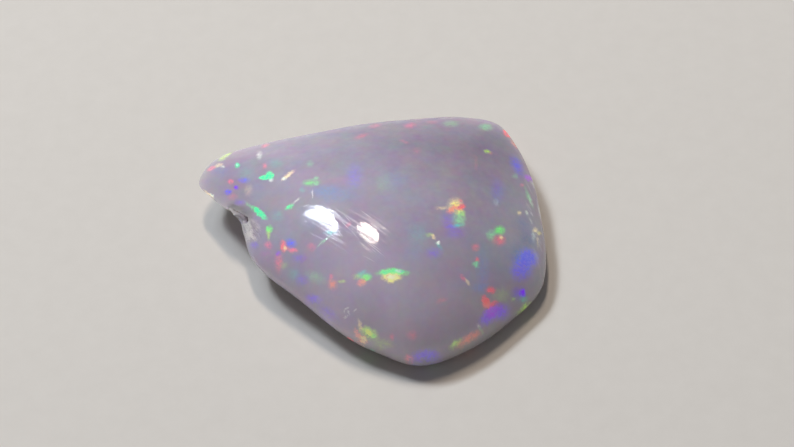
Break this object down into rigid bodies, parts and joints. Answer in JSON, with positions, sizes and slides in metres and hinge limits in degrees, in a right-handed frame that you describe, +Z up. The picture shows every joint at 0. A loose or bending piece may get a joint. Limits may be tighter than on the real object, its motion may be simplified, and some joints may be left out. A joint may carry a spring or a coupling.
{
  "type": "rough opal specimen",
  "caption": "Small rubbed light opal: a low-domed, beaked, rounded-triangle pebble of milky lavender stone with scattered play of colour, lying on a flat foot.",
  "frame": {"origin": "on the ground under the middle of the stone's bounding box", "axes": "+Z up, the shortest extent; +X along the longest extent, away from the beak, whose tip points to -X"},
  "size_m": [0.02, 0.0166, 0.0052],
  "materials": {
    "opal": "hand-rubbed and wet-polished milky translucent light opal, with play of colour"
  },
  "bodies": {
    "root": {"opal": "opal"}
  },
  "joints": []
}
